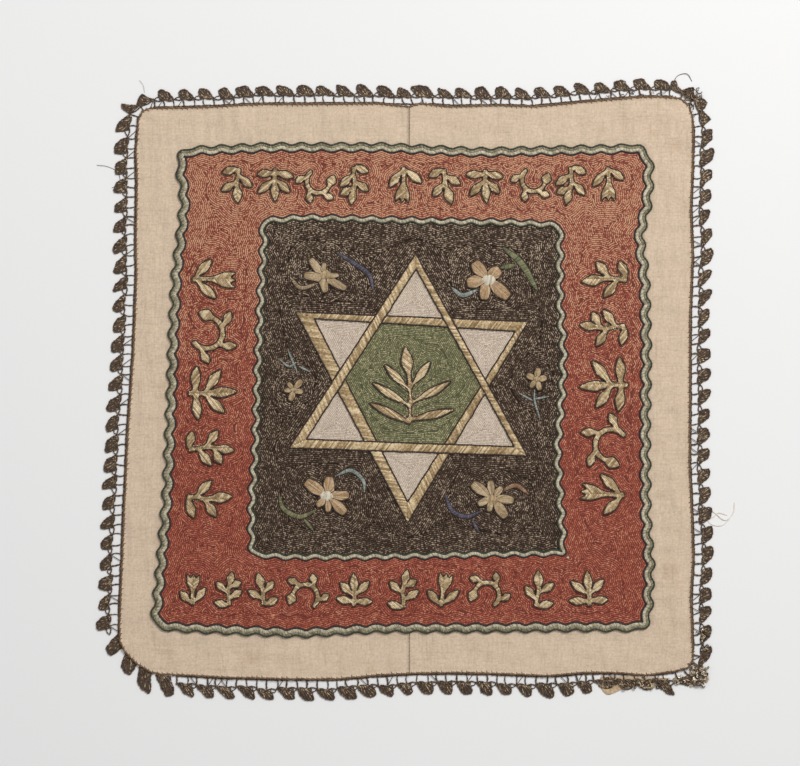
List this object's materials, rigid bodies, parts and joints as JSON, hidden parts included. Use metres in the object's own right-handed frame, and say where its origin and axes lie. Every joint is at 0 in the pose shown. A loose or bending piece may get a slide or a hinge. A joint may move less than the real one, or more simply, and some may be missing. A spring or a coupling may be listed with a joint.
{
  "type": "embroidered ceremonial cover cloth",
  "caption": "Square cloth with a hexagram, flowers and leafy motifs embroidered in wavy-edged bands, and a crocheted scalloped metal-thread edging; lies flat.",
  "frame": {"origin": "under the middle of the cloth, on the surface that it lies on", "axes": "+Z out of the surface; +X to the right and +Y up across the embroidered design as it is seen from above"},
  "size_m": [0.4914, 0.4952, 0.0033],
  "materials": {
    "linen": "plain-weave cotton or linen, beige",
    "lining": "thin pale lining cloth",
    "metal_thread": "crocheted dark gilt metal thread, tarnished",
    "border_silk": "grey-green and ivory silk satin stitch with dark cords",
    "red_chain_stitch": "brick-red silk chain stitch flecked with gilt thread",
    "dark_chain_stitch": "dark brown silk chain stitch flecked with gilt thread",
    "ivory_chain_stitch": "ivory silk chain stitch",
    "green_chain_stitch": "moss-green silk chain stitch",
    "gold_padded_band": "padded satin stitch in dull gilt thread",
    "gold_motif": "satin stitch in dull gilt thread",
    "gold_satin_stitch": "satin stitch in dull gilt thread",
    "tan_satin_stitch": "tan silk satin stitch",
    "orange_satin_stitch": "orange-tan silk satin stitch"
  },
  "bodies": {
    "root": {"border_inner": "border_silk", "border_outer": "border_silk", "edging": "metal_thread", "field_dark": "dark_chain_stitch", "field_red": "red_chain_stitch", "flower_bottom_left": "orange_satin_stitch", "flower_bottom_right": "tan_satin_stitch", "flower_left": "gold_satin_stitch", "flower_right": "gold_satin_stitch", "flower_top_left": "tan_satin_stitch", "flower_top_right": "orange_satin_stitch", "ground_left": "linen", "ground_right": "linen", "hexagon_green": "green_chain_stitch", "ivory_bottom": "ivory_chain_stitch", "ivory_lower_left": "ivory_chain_stitch", "ivory_lower_right": "ivory_chain_stitch", "ivory_top": "ivory_chain_stitch", "ivory_upper_left": "ivory_chain_stitch", "ivory_upper_right": "ivory_chain_stitch", "lining_corner": "lining", "motif_bottom_1": "gold_motif", "motif_bottom_10": "gold_motif", "motif_bottom_2": "gold_motif", "motif_bottom_3": "gold_motif", "motif_bottom_4": "gold_motif", "motif_bottom_5": "gold_motif", "motif_bottom_6": "gold_motif", "motif_bottom_7": "gold_motif", "motif_bottom_8": "gold_motif", "motif_bottom_9": "gold_motif", "motif_centre_1": "gold_motif", "motif_left_1": "gold_motif", "motif_left_2": "gold_motif", "motif_left_3": "gold_motif", "motif_left_4": "gold_motif", "motif_left_5": "gold_motif", "motif_right_1": "gold_motif", "motif_right_2": "gold_motif", "motif_right_3": "gold_motif", "motif_right_4": "gold_motif", "motif_right_5": "gold_motif", "motif_top_1": "gold_motif", "motif_top_10": "gold_motif", "motif_top_2": "gold_motif", "motif_top_3": "gold_motif", "motif_top_4": "gold_motif", "motif_top_5": "gold_motif", "motif_top_6": "gold_motif", "motif_top_7": "gold_motif", "motif_top_8": "gold_motif", "motif_top_9": "gold_motif", "star_down_bottom": "gold_padded_band", "star_down_left": "gold_padded_band", "star_down_right": "gold_padded_band", "star_span_left": "gold_padded_band", "star_span_right": "gold_padded_band", "star_span_top": "gold_padded_band", "star_up": "gold_padded_band"}
  },
  "joints": []
}
